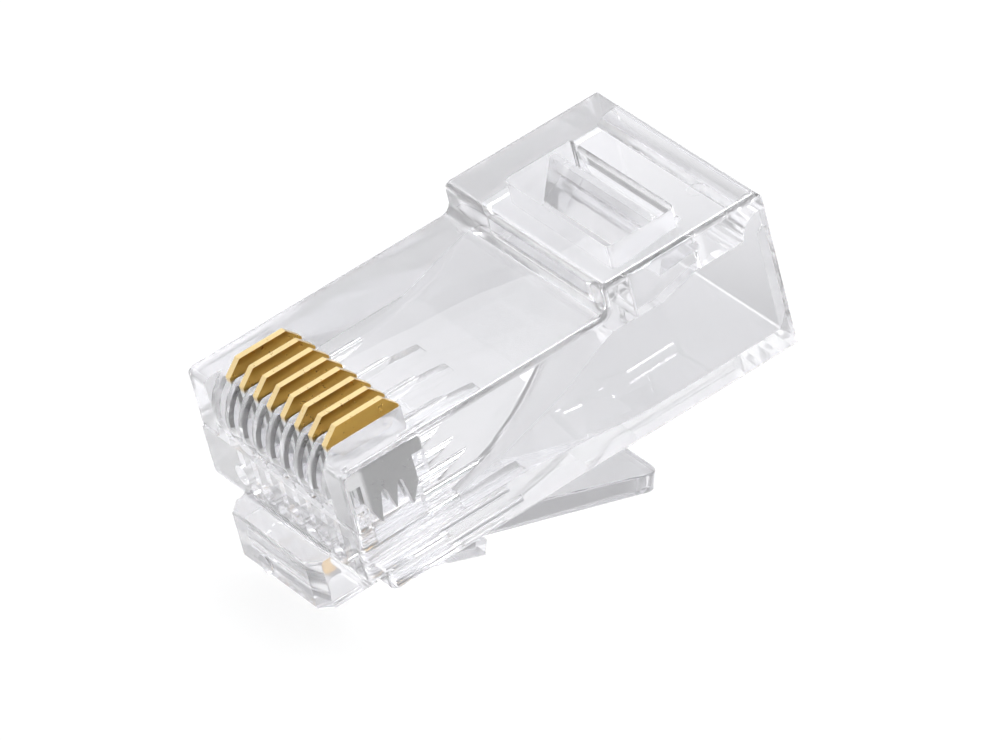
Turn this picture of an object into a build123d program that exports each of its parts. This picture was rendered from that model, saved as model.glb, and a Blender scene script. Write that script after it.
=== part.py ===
from build123d import *
import os
from math import asin, atan2, cos, degrees, hypot, radians, sin

# Eight-way modular plug for network cable, new and not yet crimped.
# Plug axes while it is built: X across the plug, Y from the mating face back to
# the cable entry, Z up to the contact side. The underside of the body is z = 0.
# All sizes are in millimetres.

# Body
width = 11.68
length = 21.9
front_height = 6.5
rear_step = 1.4
rear_height = front_height + rear_step
step_y = 13.7
edge_round = 0.28
sole_edge_round = 0.1
corner_round = 0.35
foot_round = 0.5
front_floor_z = 0.9
rail_front_y = 0.95
face_step = 0.08
eject_mark_radius = 0.42
eject_mark_depth = 0.04
eject_mark_x = 3.45
eject_mark_inset = 1.6

# Contact blades
ways = 8
pitch = 1.02
blade_thickness = 0.32
blade_stand = 0.75
blade_top_z = front_height + blade_stand
blade_front_y = 0.8
blade_rear_y = 4.45
blade_top_front_y = 1.47
blade_top_rear_y = 3.83
blade_chamfer_drop = 0.65
blade_chamfer_foot_z = blade_top_z - blade_chamfer_drop
crimp_travel = 1.1
tooth_front_y = 1.45
tooth_rear_y = 3.92
tooth_tip_z = 2.52
tooth_mid_tip_z = 2.78
tooth_side_z = 3.5
notch_top_z = 4.05
notch_width = 0.24
tip_inset = 0.45

# Slots that guide the blades
slot_clearance = 0.05
slot_width = blade_thickness + 2 * slot_clearance
shelf_z = 3.62
comb_root_y = 1.0
comb_set_back = 0.36
comb_top_y = 0.78
comb_bulge_y = 0.02
comb_bulge_z = 5.2
rib_nose_bevel = 0.15

# Channels that the eight conductors lie in, in two staggered rows
channel_diameter = 0.96
channel_high_z = 1.85
channel_low_z = 1.35
channel_front_y = 0.7
channel_end_y = 8.75

# Cable cavity
entry_half_width = 4.75
spread_half_width = 4.5
funnel_half_width = 4.13
funnel_front_y = 5.4
spread_front_y = 9.4
spread_rear_y = 11.8
entry_front_y = 16.6
cavity_floor_z = 0.7
step_floor_rise = 0.23
step_floor_z = cavity_floor_z + step_floor_rise
funnel_floor_rise = 0.17
funnel_floor_z = step_floor_z + funnel_floor_rise
floor_ramp_front_y = 8.3
floor_ramp_end_y = 11.75
floor_low_y = 14.2
funnel_roof_gap = 0.07
funnel_roof_z = channel_low_z + channel_diameter / 2 + funnel_roof_gap
ramp_low_y = 9.4
ramp_low_rise = 1.03
ramp_steep_y = 12.0
ramp_steep_drop = 1.06
funnel_roof_tangents = [(1, 0.26), (1, 0.4)]
roof_ramp_end_y = 14.0
entry_wall = 2.22
entry_roof_z = rear_height - entry_wall
roof_rise_y = 18.35
jacket_roof_drop = 0.51
jacket_roof_z = entry_roof_z - jacket_roof_drop
roof_flat_end_y = 16.5
mouth_flare = 0.35
mouth_roof_round = 1.0

# Window in the roof, with the bar that clamps the cable jacket
window_front_y = 15.5
window_rear_y = 19.0
window_half_width = 3.75
window_corner = 0.25
bar_end_gap = 0.1
bar_crest_y = 17.8
bar_crest_width = 0.3
bar_crest_drop = 0.08
bar_face_run = 0.8
bar_foot_rise = 0.27
bar_foot_z = entry_roof_z + bar_foot_rise
bar_hinge_round = 0.22
bar_hinge_rise = 0.41
bar_hinge_z = bar_foot_z + bar_hinge_rise
bar_hinge_back = 0.12
hinge_clearance = 0.02

# Nose block that carries the latch
nose_width = 6.45
nose_front = 1.12
nose_rear_y = 1.6
nose_top_z = 1.2
nose_bottom_z = -1.22
nose_corner = 0.5
nose_edge_round = 0.15
nose_root_round = 0.3
gate_mark_radius = 0.48
gate_mark_height = 0.06
gate_mark_x = -0.85
gate_mark_z = -0.65

# Latch lever, relaxed
latch_angle = 20.0
latch_hinge_y = 1.75
latch_hinge_z = -0.72
latch_root_round = 0.4
shoulder_reach = 5.42
shoulder_top = 0.25
shoulder_bottom = -0.47
tail_width = 3.5
tail_reach = 15.35
tail_top = 0.6
tail_end_bottom = -0.24
tail_rib_start = 3.6
tail_rib_foot = -0.27
tail_corner = 0.7
latch_edge_round = 0.08

# An overshoot that lets a cut pass through the face it starts from, and the
# distance within which two places count as one
past = 1.0
near = 0.01


def side_face(line):
    """Face from a closed line drawn with (y, z) points."""
    return Plane.YZ * make_face(line)


def side_plate(line, thickness):
    """Solid of one thickness, centred across the plug, with a (y, z) outline."""
    return extrude(side_face(line), amount=thickness / 2, both=True)


def cross_bar(y, z, radius, reach):
    """Round bar across the plug, centred on its middle."""
    return Location((0, y, z)) * Rot(0, 90, 0) * Cylinder(radius, reach)


def contact_x(index):
    """Place across the plug of one way, counted from zero."""
    return (index - (ways - 1) / 2) * pitch


def corners_at(face, y, z):
    """Corners of a side face at one (y, z) place."""
    return [v for v in face.vertices() if abs(v.Y - y) < near and abs(v.Z - z) < near]


def side_rim(block):
    """Edges that bound the two side faces of the body."""
    return [e for e in block.edges() if abs(e.center().X) > width / 2 - near]


def body_block():
    """Outer form of the moulding: low front, raised rear, sharp rim round the cable entry."""
    outline = Polyline(
        (0, front_floor_z),
        (0, shelf_z),
        (face_step, shelf_z),
        (face_step, front_height),
        (step_y, front_height),
        (step_y, rear_height),
        (length, rear_height),
        (length, 0),
        (rail_front_y, 0),
        (rail_front_y, front_floor_z),
        close=True,
    )
    face = side_face(outline)
    face = fillet(corners_at(face, step_y, front_height), foot_round)
    for y, z in ((0, front_floor_z), (face_step, front_height), (step_y, rear_height)):
        face = fillet(corners_at(face, y, z), corner_round)
    block = extrude(face, amount=width / 2, both=True)
    block = fillet([e for e in side_rim(block) if e.center().Z < near], sole_edge_round)
    rim = [e for e in side_rim(block) if e.center().Z > sole_edge_round + near]
    rim = [e for e in rim if e.center().Y < length - near]
    rim += block.faces().sort_by(Axis.Y)[-1].edges().filter_by(Axis.X).sort_by(Axis.Z)[-1:]
    block = fillet(rim, edge_round)
    mark = Location((eject_mark_x, length - eject_mark_inset, rear_height))
    return block - mark * Cylinder(eject_mark_radius, 2 * eject_mark_depth)


def nose_block():
    """Block below the mating face. The latch grows out of its back."""
    outline = Polyline(
        (-nose_front, nose_bottom_z),
        (-nose_front, nose_top_z),
        (nose_rear_y, nose_top_z),
        (nose_rear_y, nose_bottom_z),
        close=True,
    )
    block = side_plate(outline, nose_width)
    upright = [e for e in block.edges().filter_by(Axis.Z) if e.center().Y < 0]
    block = chamfer(upright, nose_corner)
    ends = block.faces().sort_by(Axis.Z)
    rim = [e for face in (ends[0], ends[-1]) for e in face.edges() if e.center().Y < nose_corner - nose_front]
    block = fillet(rim, nose_edge_round)
    hollow = RadiusArc((-nose_root_round, nose_top_z), (0, nose_top_z + nose_root_round), -nose_root_round)
    root = Polyline(
        (0, nose_top_z + nose_root_round),
        (nose_rear_y, nose_top_z + nose_root_round),
        (nose_rear_y, nose_top_z - nose_root_round),
        (-nose_root_round, nose_top_z - nose_root_round),
        (-nose_root_round, nose_top_z),
    )
    block += side_plate(hollow + root, nose_width)
    mark = Location((gate_mark_x, -nose_front, gate_mark_z))
    block += mark * Rot(90, 0, 0) * Cylinder(gate_mark_radius, 2 * gate_mark_height)
    seat = cross_bar(latch_hinge_y, latch_hinge_z, latch_root_round + hinge_clearance, nose_width + past)
    return block - seat


def cable_cavity():
    """Room for the cable jacket, narrowing by a ramp to the conductor channels."""
    ramp = Spline(
        (funnel_front_y, funnel_roof_z),
        (ramp_low_y, funnel_roof_z + ramp_low_rise),
        (ramp_steep_y, jacket_roof_z - ramp_steep_drop),
        (roof_ramp_end_y, jacket_roof_z),
        tangents=funnel_roof_tangents,
    )
    roof = Polyline(
        (roof_ramp_end_y, jacket_roof_z),
        (roof_flat_end_y, jacket_roof_z),
        (roof_rise_y, entry_roof_z),
        (length - mouth_roof_round, entry_roof_z),
    )
    mouth_z = entry_roof_z + mouth_roof_round
    mouth = RadiusArc((length - mouth_roof_round, entry_roof_z), (length, mouth_z), mouth_roof_round)
    floor = Polyline(
        (length, mouth_z),
        (length + past, mouth_z),
        (length + past, cavity_floor_z),
        (floor_low_y, cavity_floor_z),
        (floor_ramp_end_y, step_floor_z),
        (floor_ramp_front_y, funnel_floor_z),
        (funnel_front_y, funnel_floor_z),
        (funnel_front_y, funnel_roof_z),
    )
    side = extrude(side_face(ramp + roof + mouth + floor), amount=width / 2, both=True)
    plan = Polyline(
        (-funnel_half_width, funnel_front_y - past),
        (-funnel_half_width, spread_front_y),
        (-spread_half_width, spread_rear_y),
        (-entry_half_width, entry_front_y),
        (-entry_half_width, length + 2 * past),
        (entry_half_width, length + 2 * past),
        (entry_half_width, entry_front_y),
        (spread_half_width, spread_rear_y),
        (funnel_half_width, spread_front_y),
        (funnel_half_width, funnel_front_y - past),
        close=True,
    )
    return side & extrude(make_face(plan), amount=rear_height)


def entry_mouth():
    """Flared edge of the cable entry."""
    middle_z = (entry_roof_z + cavity_floor_z) / 2
    height = entry_roof_z - cavity_floor_z
    inner = Plane((0, length - mouth_flare, middle_z), x_dir=(1, 0, 0), z_dir=(0, 1, 0))
    outer = Plane((0, length + near, middle_z), x_dir=(1, 0, 0), z_dir=(0, 1, 0))
    flare = 2 * mouth_flare
    small = inner * Rectangle(2 * entry_half_width, height)
    large = outer * Rectangle(2 * entry_half_width + flare, height + flare)
    return loft([small, large])


def channel_z(way):
    """Height of one way's conductor: every other one lies in the low row."""
    return channel_low_z if way % 2 else channel_high_z


def conductor_channels():
    """Eight round channels side by side, closed behind the mating face."""
    cut = Part()
    reach = channel_end_y - channel_front_y
    for way in range(ways):
        middle = Location((contact_x(way), channel_front_y + reach / 2, channel_z(way)))
        cut += middle * Rot(90, 0, 0) * Cylinder(channel_diameter / 2, reach)
    return cut


def comb_recess():
    """Gap in the mating face, down to the shelf, that the ribs then stand in."""
    reach = (ways + 1) * pitch - slot_width
    outline = Polyline(
        (-past, shelf_z),
        (-past, front_height + past),
        (comb_root_y, front_height + past),
        (comb_root_y, shelf_z),
        close=True,
    )
    return side_plate(outline, reach)


def comb_ribs():
    """Ribs that part the contacts, one more than the ways, their noses bulged and bevelled."""
    bulge = ThreePointArc((comb_top_y, front_height), (comb_bulge_y, comb_bulge_z), (comb_set_back, shelf_z))
    back = Polyline(
        (comb_set_back, shelf_z),
        (comb_root_y, shelf_z),
        (comb_root_y, front_height),
        (comb_top_y, front_height),
    )
    rib = side_plate(bulge + back, pitch - slot_width)
    nose = [e for e in rib.edges() if e.geom_type != GeomType.LINE]
    rib = chamfer(nose, rib_nose_bevel)
    return [Location(((place - ways / 2) * pitch, 0, 0)) * rib for place in range(ways + 1)]


def blade_slots():
    """Slots that hold the blades: wide ones for their heads, short ones for their teeth."""
    head = Polyline(
        (-past, shelf_z),
        (-past, front_height + past),
        (blade_rear_y + slot_clearance, front_height + past),
        (blade_rear_y + slot_clearance, shelf_z),
        close=True,
    )
    slots = []
    for way in range(ways):
        teeth = Polyline(
            (tooth_front_y - slot_clearance, channel_z(way)),
            (tooth_front_y - slot_clearance, shelf_z + past),
            (tooth_rear_y + slot_clearance, shelf_z + past),
            (tooth_rear_y + slot_clearance, channel_z(way)),
            close=True,
        )
        slot = side_plate(head, slot_width) + side_plate(teeth, slot_width)
        slots.append(Location((contact_x(way), 0, 0)) * slot)
    return slots


def clamp_window():
    """Opening in the roof of the raised rear."""
    run = window_rear_y - window_front_y
    middle = Location((0, (window_front_y + window_rear_y) / 2, jacket_roof_z))
    block = Box(2 * window_half_width, run, rear_height, align=(Align.CENTER, Align.CENTER, Align.MIN))
    block = fillet(block.edges().filter_by(Axis.Z), window_corner)
    return middle * block


def clamp_hinge_seat():
    """Hollow in the window's rear wall that the clamp bar turns in."""
    hinge_y = window_rear_y - bar_hinge_back
    reach = 2 * window_half_width
    return cross_bar(hinge_y, bar_hinge_z, bar_hinge_round + hinge_clearance, reach)


def plug_housing():
    """The clear moulding, without the latch and the clamp bar."""
    body = body_block() + nose_block()
    body -= cable_cavity()
    body -= entry_mouth()
    body -= conductor_channels()
    body -= comb_recess()
    for slot in blade_slots():
        body -= slot
    for rib in comb_ribs():
        body += rib
    body -= clamp_window()
    body -= clamp_hinge_seat()
    return body


def contact_blade():
    """One stamped blade: trapezoid head, three piercing teeth."""
    shoulder_z = shelf_z + crimp_travel + slot_clearance
    middle_y = (tooth_front_y + tooth_rear_y) / 2
    notch_front = middle_y - (tooth_rear_y - tooth_front_y) / 6
    notch_rear = middle_y + (tooth_rear_y - tooth_front_y) / 6
    half_notch = notch_width / 2
    outline = Polyline(
        (blade_top_front_y, blade_top_z),
        (blade_top_rear_y, blade_top_z),
        (blade_rear_y, blade_chamfer_foot_z),
        (blade_rear_y, shoulder_z),
        (tooth_rear_y, shoulder_z),
        (tooth_rear_y, tooth_side_z),
        (tooth_rear_y - tip_inset, tooth_tip_z),
        (notch_rear + half_notch, notch_top_z - half_notch),
        (notch_rear, notch_top_z),
        (notch_rear - half_notch, notch_top_z - half_notch),
        (middle_y, tooth_mid_tip_z),
        (notch_front + half_notch, notch_top_z - half_notch),
        (notch_front, notch_top_z),
        (notch_front - half_notch, notch_top_z - half_notch),
        (tooth_front_y + tip_inset, tooth_tip_z),
        (tooth_front_y, tooth_side_z),
        (tooth_front_y, shoulder_z),
        (blade_front_y, shoulder_z),
        (blade_front_y, blade_chamfer_foot_z),
        close=True,
    )
    return side_plate(outline, blade_thickness)


def jacket_clamp_bar():
    """Wedge in the roof window, hinged by a thin web at the window's rear wall."""
    hinge_y = window_rear_y - bar_hinge_back
    crest_z = rear_height - bar_crest_drop
    outline = Polyline(
        (bar_crest_y, crest_z),
        (bar_crest_y + bar_crest_width, crest_z),
        (hinge_y - bar_hinge_round, bar_hinge_z + bar_hinge_round),
        (hinge_y, bar_hinge_z + bar_hinge_round),
        (hinge_y, bar_hinge_z - bar_hinge_round),
        (bar_crest_y - bar_face_run, bar_foot_z),
        close=True,
    )
    reach = 2 * (window_half_width - bar_end_gap)
    return side_plate(outline, reach) + cross_bar(hinge_y, bar_hinge_z, bar_hinge_round, reach)


def latch_lever():
    """Springy lever under the plug: wide locking part, then a narrow thumb tail."""
    wide = Polyline(
        (0, latch_root_round),
        (shoulder_reach, shoulder_top),
        (shoulder_reach, shoulder_bottom),
        (0, -latch_root_round),
        close=True,
    )
    lever = side_plate(wide, nose_width)
    lever += cross_bar(0, 0, latch_root_round, nose_width)
    tail = Polyline(
        (tail_rib_start, 0),
        (shoulder_reach, tail_top),
        (tail_reach, tail_top),
        (tail_reach, tail_end_bottom),
        (shoulder_reach, shoulder_bottom),
        (tail_rib_start, tail_rib_foot),
        close=True,
    )
    rib = side_plate(tail, tail_width)
    corners = [e for e in rib.edges().filter_by(Axis.Z) if e.center().Y > tail_reach - near]
    rib = fillet(corners, tail_corner)
    top = rib.faces().filter_by(Axis.Z).sort_by(Axis.Z)[-1]
    rim = [e for e in top.edges() if e.center().Y > shoulder_reach + near]
    rib = fillet(rim, latch_edge_round)
    lever += rib
    return Location((0, latch_hinge_y, latch_hinge_z)) * Rot(-latch_angle, 0, 0) * lever


def tail_end():
    """Lowest corner of the latch's tail as (y, z)."""
    slope = radians(latch_angle)
    y = latch_hinge_y + tail_reach * cos(slope) + tail_end_bottom * sin(slope)
    z = latch_hinge_z - tail_reach * sin(slope) + tail_end_bottom * cos(slope)
    return y, z


def rest_pitch():
    """Angle that tips the plug forward until its nose and its latch's tail meet the table."""
    tail_y, tail_z = tail_end()
    run = tail_y + nose_front - nose_edge_round
    drop = nose_bottom_z + nose_edge_round - tail_z
    return degrees(atan2(drop, run) - asin(nose_edge_round / hypot(run, drop)))


def rest_place(solids):
    """Placement on the table, with the origin under the middle of the whole plug."""
    tipped = Rot(rest_pitch(), 0, 0)
    box = Compound(children=[tipped * solid for solid in solids]).bounding_box()
    return Location((0, -(box.min.Y + box.max.Y) / 2, -box.min.Z)) * tipped


def plug_nodes():
    """Every piece by name, in plug axes."""
    nodes = {
        "plug_housing": plug_housing(),
        "latch_lever": latch_lever(),
        "jacket_clamp_bar": jacket_clamp_bar(),
    }
    for way in range(ways):
        nodes[f"contact_{way + 1}"] = Location((contact_x(way), 0, 0)) * contact_blade()
    return nodes


def main():
    os.makedirs("parts", exist_ok=True)
    nodes = plug_nodes()
    place = rest_place(nodes.values())
    for name, solid in nodes.items():
        export_step(place * solid, f"parts/{name}.step")


main()
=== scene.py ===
from math import cos, radians, sin

import bpy
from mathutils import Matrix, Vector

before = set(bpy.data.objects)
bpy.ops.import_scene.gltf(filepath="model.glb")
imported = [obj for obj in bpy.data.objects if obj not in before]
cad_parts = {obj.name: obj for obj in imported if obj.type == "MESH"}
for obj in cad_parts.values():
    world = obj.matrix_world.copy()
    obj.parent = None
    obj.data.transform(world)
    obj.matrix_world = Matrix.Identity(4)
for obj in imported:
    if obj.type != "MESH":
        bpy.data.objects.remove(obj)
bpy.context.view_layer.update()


# Studio
# A pale seamless table under a white tent, with a large softbox above and behind the plug and
# a white card before its mating face. Clear plastic shows its form only by what it bends, so
# the tent is grey low down and overhead, pale between, and dark around the camera.
TABLE_REACH = 3
TABLE_COLOUR = (0.93, 0.93, 0.935, 1)
PAPER_ROUGHNESS = 0.9
PAPER_GLOSS = 0.1
TABLE_GLOW = 0.85
# Painted shadow: greys that the table glows in through the plastic, darker toward the plug.
TABLE_PAINTED_SHADOW = [(0.0, 0.36), (0.2, 0.38), (0.3, 0.45), (0.42, 0.6), (0.6, 0.78), (0.8, 0.92)]
TABLE_PAINTED_SHADOW_CENTRE = (-0.004, 0.012, 0.0)
TABLE_PAINTED_SHADOW_SPAN = 0.04
TABLE_COOLNESS = 1.03
TENT_WHITE = (1.0, 1.0, 1.0, 1)
TENT_BANDS = [(0.0, 0.45), (0.2, 0.3), (0.43, 0.32), (0.55, 0.84), (0.78, 0.8), (0.97, 0.4)]
TENT_COOLNESS = 1.02
DARK_CARD = 0.3
DARK_CARD_WAY = (0.7228, -0.5055, 0.4711)
DARK_CARD_EDGE = (0.45, 0.75)
CAMERA_PLACE = (0.276466, -0.193348, 0.180184)
CAMERA_TURN = (62.8152, -1.0239, 55.501)
LENS_LENGTH = 329.27
SENSOR_WIDTH = 36
NEAREST_SEEN = 0.01
LIGHT_BOUNCES = 40
GLOSSY_BOUNCES = 12
CLEAR_LAYERS = 24


def grey_ramp(nodes, steps, coolness):
    """Ramp of slightly cool greys from a list of places and levels."""
    ramp = nodes.new("ShaderNodeValToRGB")
    stops = ramp.color_ramp.elements
    while len(stops) < len(steps):
        stops.new(0.5)
    for stop, (place, grey) in zip(stops, steps):
        stop.position = place
        stop.color = (grey, grey, grey * coolness, 1)
    return ramp


def mixed(nodes, link, first, second, share):
    """Colour that goes from first to second, each a colour or a socket, as share rises."""
    mix = nodes.new("ShaderNodeMix")
    mix.data_type = "RGBA"
    for socket, colour in (("A", first), ("B", second)):
        if isinstance(colour, tuple):
            mix.inputs[socket].default_value = colour
        else:
            link(colour, mix.inputs[socket])
    link(share, mix.inputs["Factor"])
    return mix.outputs["Result"]


def worked_out(nodes, link, operation, *terms):
    """Result of a Math node whose terms are numbers or sockets."""
    node = nodes.new("ShaderNodeMath")
    node.operation = operation
    for socket, term in zip(node.inputs, terms):
        if isinstance(term, float):
            socket.default_value = term
        else:
            link(term, socket)
    return node.outputs[0]


def along(nodes, link, position, direction):
    """How far position lies along direction."""
    reach = nodes.new("ShaderNodeVectorMath")
    reach.operation = "DOT_PRODUCT"
    reach.inputs[1].default_value = direction
    link(position, reach.inputs[0])
    return reach.outputs["Value"]


def table_paper():
    """Matt paper, white to the camera; through the plastic, a glow with a painted shadow near
    the plug.
    """
    material = bpy.data.materials.new("table_paper")
    material.use_nodes = True
    nodes = material.node_tree.nodes
    link = material.node_tree.links.new
    paper = nodes["Principled BSDF"]
    paper.inputs["Base Color"].default_value = TABLE_COLOUR
    paper.inputs["Roughness"].default_value = PAPER_ROUGHNESS
    paper.inputs["Specular IOR Level"].default_value = PAPER_GLOSS
    # Painted shadow: through the plastic the table glows in greys that darken toward a point
    # under the plug.
    spot = nodes.new("ShaderNodeTexCoord")
    away = nodes.new("ShaderNodeVectorMath")
    away.operation = "DISTANCE"
    away.inputs[1].default_value = TABLE_PAINTED_SHADOW_CENTRE
    link(spot.outputs["Object"], away.inputs[0])
    reach = nodes.new("ShaderNodeMapRange")
    reach.inputs["From Max"].default_value = TABLE_PAINTED_SHADOW_SPAN
    link(away.outputs["Value"], reach.inputs["Value"])
    painted_shadow = grey_ramp(nodes, TABLE_PAINTED_SHADOW, TABLE_COOLNESS)
    link(reach.outputs["Result"], painted_shadow.inputs["Fac"])
    path = nodes.new("ShaderNodeLightPath")
    seen = path.outputs["Is Camera Ray"]
    through = path.outputs["Is Transmission Ray"]
    glow = nodes.new("ShaderNodeEmission")
    link(mixed(nodes, link, painted_shadow.outputs["Color"], TENT_WHITE, seen), glow.inputs["Color"])
    either = worked_out(nodes, link, "ADD", seen, through)
    blend = nodes.new("ShaderNodeMixShader")
    link(worked_out(nodes, link, "MULTIPLY", either, TABLE_GLOW), blend.inputs["Fac"])
    link(paper.outputs["BSDF"], blend.inputs[1])
    link(glow.outputs["Emission"], blend.inputs[2])
    # From below the paper is see-through, so that the underside of the plug can be looked at.
    side = nodes.new("ShaderNodeNewGeometry")
    see_through = nodes.new("ShaderNodeBsdfTransparent")
    one_sided = nodes.new("ShaderNodeMixShader")
    link(side.outputs["Backfacing"], one_sided.inputs["Fac"])
    link(blend.outputs["Shader"], one_sided.inputs[1])
    link(see_through.outputs["BSDF"], one_sided.inputs[2])
    link(one_sided.outputs["Shader"], nodes["Material Output"].inputs["Surface"])
    return material


def softbox(name, place, aim, size, power):
    """Rectangular lamp at place, turned to face aim."""
    lamp = bpy.data.lights.new(name, "AREA")
    lamp.shape = "RECTANGLE"
    lamp.size, lamp.size_y = size
    lamp.energy = power
    box = bpy.data.objects.new(name, lamp)
    box.location = place
    turn = Vector(aim) - Vector(place)
    box.rotation_euler = turn.to_track_quat("-Z", "Y").to_euler()
    bpy.context.scene.collection.objects.link(box)


table_mesh = bpy.data.meshes.new("table")
table_corners = [(x * TABLE_REACH, y * TABLE_REACH, 0)
                 for x, y in ((-1, -1), (1, -1), (1, 1), (-1, 1))]
table_mesh.from_pydata(table_corners, [], [(0, 1, 2, 3)])
table_mesh.materials.append(table_paper())
table = bpy.data.objects.new("table", table_mesh)
bpy.context.scene.collection.objects.link(table)

tent = bpy.data.worlds.new("tent")
bpy.context.scene.world = tent
tent.use_nodes = True
nodes = tent.node_tree.nodes
link = tent.node_tree.links.new
direction = nodes.new("ShaderNodeTexCoord")
split = nodes.new("ShaderNodeSeparateXYZ")
link(direction.outputs["Generated"], split.inputs["Vector"])
bands = grey_ramp(nodes, TENT_BANDS, TENT_COOLNESS)
link(split.outputs["Z"], bands.inputs["Fac"])
card = nodes.new("ShaderNodeMapRange")
card.interpolation_type = "SMOOTHSTEP"
card.inputs["From Min"].default_value, card.inputs["From Max"].default_value = DARK_CARD_EDGE
card.inputs["To Min"].default_value = 1.0
card.inputs["To Max"].default_value = DARK_CARD
link(along(nodes, link, direction.outputs["Generated"], DARK_CARD_WAY), card.inputs["Value"])
walls = nodes.new("ShaderNodeVectorMath")
walls.operation = "SCALE"
link(bands.outputs["Color"], walls.inputs[0])
link(card.outputs["Result"], walls.inputs["Scale"])
path = nodes.new("ShaderNodeLightPath")
link(mixed(nodes, link, walls.outputs["Vector"], TENT_WHITE, path.outputs["Is Camera Ray"]),
     nodes["Background"].inputs["Color"])

softbox("top_softbox", (-0.12, 0.16, 0.42), (0, 0, 0.005), (0.34, 0.24), 2.4)
softbox("front_card", (-0.25, -0.26, 0.12), (0, 0, 0.008), (0.3, 0.26), 0.17)

lens = bpy.data.cameras.new("camera")
lens.lens = LENS_LENGTH
lens.sensor_width = SENSOR_WIDTH
lens.clip_start = NEAREST_SEEN
camera = bpy.data.objects.new("camera", lens)
camera.location = CAMERA_PLACE
camera.rotation_euler = [radians(turn) for turn in CAMERA_TURN]
bpy.context.scene.collection.objects.link(camera)
bpy.context.scene.camera = camera
bpy.context.scene.view_settings.view_transform = "Standard"
bpy.context.scene.cycles.max_bounces = LIGHT_BOUNCES
bpy.context.scene.cycles.transmission_bounces = LIGHT_BOUNCES
bpy.context.scene.cycles.glossy_bounces = GLOSSY_BOUNCES
bpy.context.scene.cycles.transparent_max_bounces = CLEAR_LAYERS


# Housing
# The body of the plug is one injection moulding in water-clear polycarbonate. The mould is
# polished, so its faces are glossy, with the faint waviness that thick clear mouldings have
# and a trace of haze in the resin.
CLEAR_RESIN = (0.985, 0.985, 0.995, 1)
RESIN_CLEARNESS = 0.94
RESIN_BENDING = 1.585
SHADOW_LEFT = 0.04
WAVE_DETAIL = 1.5
WAVE_ROUGHNESS = 0.35
WAVE_STRENGTH = 0.25
WAVE_DEPTH = 0.000006
POLISH_MARKS = 900.0
POLISH_MARKS_DETAIL = 3.0
BODY_WAVES = 260.0
BODY_POLISH = 0.012


def noise(nodes, link, position, scale, detail):
    """Noise over a position, with its scale as a number or a socket."""
    texture = nodes.new("ShaderNodeTexNoise")
    texture.inputs["Detail"].default_value = detail
    if isinstance(scale, float):
        texture.inputs["Scale"].default_value = scale
    else:
        link(scale, texture.inputs["Scale"])
    link(position, texture.inputs["Vector"])
    return texture


def moulded_waviness():
    """Group that gives a moulded face its low waves and the marks of its polish."""
    group = bpy.data.node_groups.new("moulded_waviness", "ShaderNodeTree")
    for way, names in (("INPUT", ("Wave Size", "Polish")), ("OUTPUT", ("Height", "Roughness"))):
        for name in names:
            group.interface.new_socket(name=name, in_out=way, socket_type="NodeSocketFloat")
    nodes = group.nodes
    link = group.links.new
    given = nodes.new("NodeGroupInput")
    result = nodes.new("NodeGroupOutput")
    place = nodes.new("ShaderNodeTexCoord").outputs["Object"]
    wave = noise(nodes, link, place, given.outputs["Wave Size"], WAVE_DETAIL)
    wave.inputs["Roughness"].default_value = WAVE_ROUGHNESS
    link(wave.outputs["Fac"], result.inputs["Height"])
    marks = noise(nodes, link, place, POLISH_MARKS, POLISH_MARKS_DETAIL).outputs["Fac"]
    link(worked_out(nodes, link, "MULTIPLY", marks, given.outputs["Polish"]),
         result.inputs["Roughness"])
    return group


waviness = moulded_waviness()


def clear_moulding(name, tint, wave_size, polish):
    """Clear polycarbonate, which lets nearly all of the lamps' light through to the table."""
    material = bpy.data.materials.new(name)
    material.use_nodes = True
    nodes = material.node_tree.nodes
    link = material.node_tree.links.new
    resin = nodes["Principled BSDF"]
    resin.inputs["Base Color"].default_value = tint
    resin.inputs["Transmission Weight"].default_value = RESIN_CLEARNESS
    resin.inputs["IOR"].default_value = RESIN_BENDING
    surface = nodes.new("ShaderNodeGroup")
    surface.node_tree = waviness
    surface.inputs["Wave Size"].default_value = wave_size
    surface.inputs["Polish"].default_value = polish
    link(surface.outputs["Roughness"], resin.inputs["Roughness"])
    bump = nodes.new("ShaderNodeBump")
    bump.inputs["Strength"].default_value = WAVE_STRENGTH
    bump.inputs["Distance"].default_value = WAVE_DEPTH
    link(surface.outputs["Height"], bump.inputs["Height"])
    link(bump.outputs["Normal"], resin.inputs["Normal"])
    path = nodes.new("ShaderNodeLightPath")
    link(worked_out(nodes, link, "MULTIPLY_ADD", path.outputs["Is Shadow Ray"],
                    SHADOW_LEFT - 1.0, 1.0), resin.inputs["Alpha"])
    return material


def wear(node, material):
    """Puts one material on a whole CAD node."""
    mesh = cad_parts[node].data
    mesh.materials.clear()
    mesh.materials.append(material)


wear("plug_housing", clear_moulding("clear_body", CLEAR_RESIN, BODY_WAVES, BODY_POLISH))


# Latch lever
# The springy lever under the body comes out of the same mould. It is thin, and its thumb tail
# carries light off along its length, so its resin is painted a shade greyer than the body's.
# Painted shade: the body's resin, tinted greyer.
LEVER_RESIN_WITH_PAINTED_SHADE = (0.95, 0.95, 0.965, 1)
THIN_WAVES = 320.0
THIN_POLISH = 0.02

wear("latch_lever", clear_moulding("clear_latch", LEVER_RESIN_WITH_PAINTED_SHADE, THIN_WAVES, THIN_POLISH))


# Jacket clamp bar
# The wedge in the roof window, also of the same moulding, hangs on a thin web until the
# crimping tool pushes it down on the cable jacket. It is as thin as the latch.
wear("jacket_clamp_bar", clear_moulding("clear_bar", CLEAR_RESIN, THIN_WAVES, THIN_POLISH))


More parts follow.
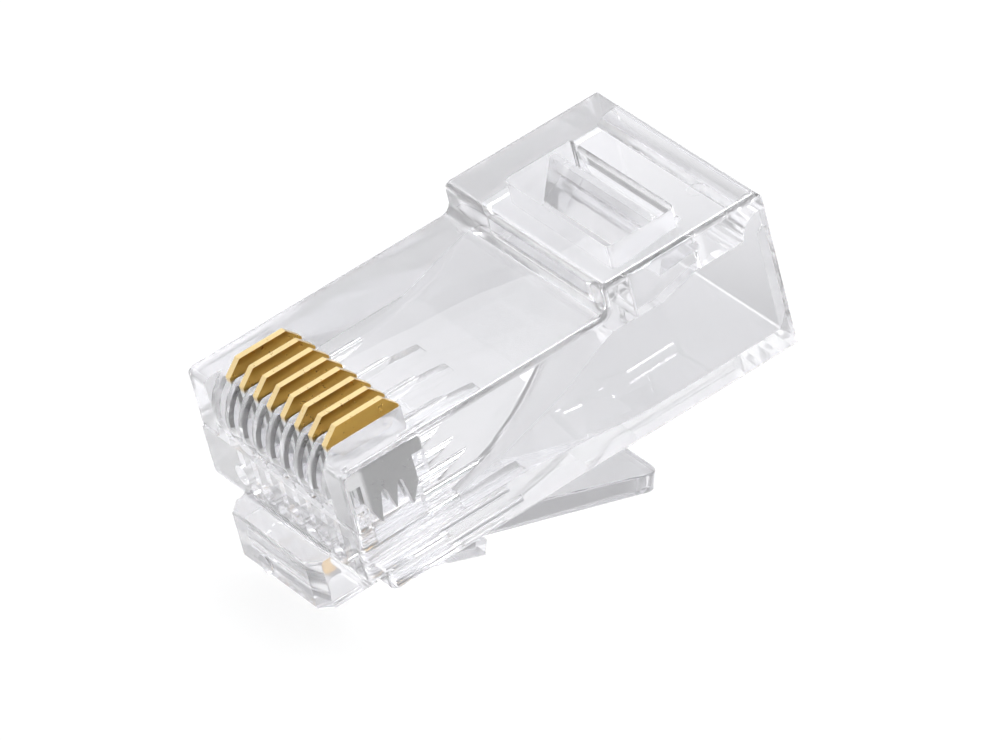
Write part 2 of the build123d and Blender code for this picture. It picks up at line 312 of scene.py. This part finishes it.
# Contacts
# Eight blades stamped from bronze strip, gold plated above, with dull nickel on the teeth
# that pierce the conductors. Their sheared edges, and a strip at the front below the gold,
# carry a painted highlight, and the gold flanks a painted shade.
# The flank gold is darkened as painted shade; the two edge colours are painted highlights.
GOLD_WITH_PAINTED_FLANK_SHADE = (0.56, 0.34, 0.08, 1)
GOLD_PAINTED_HIGHLIGHT = (0.85, 0.66, 0.34, 1)
NICKEL = (0.35, 0.35, 0.34, 1)
NICKEL_PAINTED_HIGHLIGHT = (0.90, 0.90, 0.88, 1)
GRAIN_SCALE = 4000.0
GRAIN_DETAIL = 4.0
GRAIN_ROUGHNESS = (0.22, 0.38)
GRAIN_STRENGTH = 0.1
GRAIN_DEPTH = 0.000002
BLADES = 8

# The plug rests pitched up, so heights and depths on a blade are taken along its own axes.
PLUG_TILT = radians(16.238)
PLUG_Y, PLUG_Z = -0.00968475, 0.00144856
INWARD = (0, cos(PLUG_TILT), sin(PLUG_TILT))
UPWARD = (0, -sin(PLUG_TILT), cos(PLUG_TILT))
FACE_AT = PLUG_Y * cos(PLUG_TILT) + PLUG_Z * sin(PLUG_TILT)
SOLE_AT = PLUG_Z * cos(PLUG_TILT) - PLUG_Y * sin(PLUG_TILT)
GOLD_ABOVE = 0.0064
# Depth of the painted highlight strip at the front of each blade.
FRONT_HIGHLIGHT_REACH = 0.0015
PLATING_BLEND = 0.0001


def past(nodes, link, position, direction, border):
    """Mask that turns from 0 to 1 where position passes the border along direction."""
    mask = nodes.new("ShaderNodeMapRange")
    mask.inputs["From Min"].default_value = border - PLATING_BLEND
    mask.inputs["From Max"].default_value = border + PLATING_BLEND
    link(along(nodes, link, position, direction), mask.inputs["Value"])
    return mask.outputs["Result"]


plating = bpy.data.materials.new("blade_plating")
plating.use_nodes = True
nodes = plating.node_tree.nodes
link = plating.node_tree.links.new
metal = nodes["Principled BSDF"]
metal.inputs["Metallic"].default_value = 1.0
place = nodes.new("ShaderNodeTexCoord")
facing = nodes.new("ShaderNodeSeparateXYZ")
link(place.outputs["Normal"], facing.inputs["Vector"])
# Flanks take the darker colours; edges and the front strip take the painted highlights.
unhighlit_flank = worked_out(nodes, link, "ABSOLUTE", facing.outputs["X"])
behind_front_highlight = past(nodes, link, place.outputs["Object"], INWARD, FACE_AT + FRONT_HIGHLIGHT_REACH)
above = past(nodes, link, place.outputs["Object"], UPWARD, SOLE_AT + GOLD_ABOVE)
gold_shade_and_highlight = mixed(nodes, link, GOLD_PAINTED_HIGHLIGHT, GOLD_WITH_PAINTED_FLANK_SHADE, unhighlit_flank)
nickel_with_highlight = mixed(nodes, link, NICKEL_PAINTED_HIGHLIGHT, NICKEL,
               worked_out(nodes, link, "MULTIPLY", unhighlit_flank, behind_front_highlight))
link(mixed(nodes, link, nickel_with_highlight, gold_shade_and_highlight, above), metal.inputs["Base Color"])
grain = noise(nodes, link, place.outputs["Object"], GRAIN_SCALE, GRAIN_DETAIL).outputs["Fac"]
spread = nodes.new("ShaderNodeMapRange")
spread.inputs["To Min"].default_value, spread.inputs["To Max"].default_value = GRAIN_ROUGHNESS
link(grain, spread.inputs["Value"])
link(spread.outputs["Result"], metal.inputs["Roughness"])
bump = nodes.new("ShaderNodeBump")
bump.inputs["Strength"].default_value = GRAIN_STRENGTH
bump.inputs["Distance"].default_value = GRAIN_DEPTH
link(grain, bump.inputs["Height"])
link(bump.outputs["Normal"], metal.inputs["Normal"])
for blade in range(1, BLADES + 1):
    wear(f"contact_{blade}", plating)
